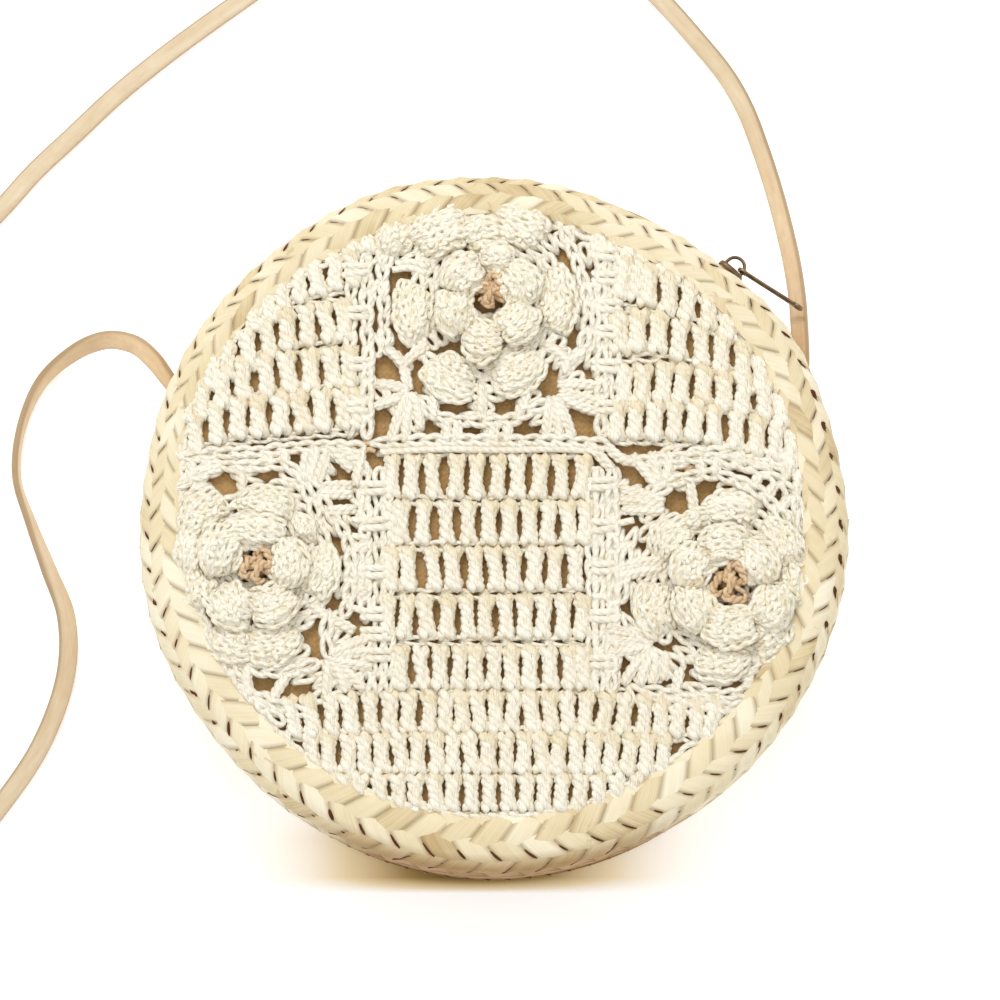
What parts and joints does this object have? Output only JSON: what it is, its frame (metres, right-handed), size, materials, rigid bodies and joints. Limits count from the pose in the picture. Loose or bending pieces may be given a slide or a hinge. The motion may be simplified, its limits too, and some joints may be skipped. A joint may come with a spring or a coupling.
{
  "type": "circle bag",
  "caption": "Round handbag lying on its back: plaited leaf band, crochet front with flowers, a zip mouth along the top of the band, and a flat leather strap.",
  "frame": {"origin": "bottom centre of the back panel, on the surface that the bag lies on", "axes": "+Z out of the crochet front, +Y towards the zip, +X to the right in a view of the front"},
  "size_m": [0.3605, 0.354, 0.0852],
  "materials": {
    "leaf": "plaited dry palm leaf, pale straw, slightly glossy",
    "cotton": "thick ivory cotton yarn",
    "centre_yarn": "tan yarn",
    "lining": "plain tan-brown cotton cloth",
    "zip_tape": "woven zip tape",
    "leather": "natural vegetable-tanned leather",
    "bronze": "antique bronze plating"
  },
  "bodies": {
    "root": {"side_band": "leaf", "back_panel": "leaf", "back_lining": "lining", "back_thread": "leaf", "band_lining": "lining", "upper_strip_back": "leaf", "upper_lining_back": "lining", "zip_tape_back": "zip_tape", "zip_teeth_back": "bronze", "zip_stops": "bronze", "front_ring": "leaf", "crochet_panel": "cotton", "front_lining": "lining", "crochet_thread": "cotton", "rim_thread": "leaf", "flower_left": "cotton", "flower_right": "cotton", "flower_top_lower": "cotton", "flower_centres": "centre_yarn", "strap": "leather", "strap_tab_right": "leather", "strap_tab_left": "leather", "strap_rivets": "bronze"},
    "front_lip": {"upper_strip_front": "leaf", "upper_lining_front": "lining", "front_ring_flap": "leaf", "crochet_flap": "cotton", "front_lining_flap": "lining", "crochet_thread_flap": "cotton", "rim_thread_flap": "leaf", "flower_top": "cotton", "flower_centre_top": "centre_yarn", "zip_tape_front": "zip_tape", "zip_teeth_front": "bronze"},
    "slider": {"slider_body": "bronze", "slider_crown": "bronze"},
    "pull": {"pull_tab": "bronze"}
  },
  "joints": [
    {"name": "zip_slide", "type": "hinge", "parent": "root", "child": "slider", "pos_m": [0, 0, 0.042], "axis": [0, 0, 1], "range_deg": [0, 85]},
    {"name": "mouth_open", "type": "hinge", "parent": "root", "child": "front_lip", "pos_m": [0, 0.058, 0.0768], "axis": [1, 0, 0], "range_deg": [0, 30], "deforming": ["zip_tape_front", "zip_teeth_front"]},
    {"name": "pull_swing", "type": "hinge", "parent": "slider", "child": "pull", "pos_m": [0.07569, 0.08525, 0.042], "axis": [0, 0, 1], "range_deg": [-6, 140]}
  ],
  "couplings": [
    {"joint": "mouth_open", "follows": "zip_slide", "ratio": 0.34}
  ]
}
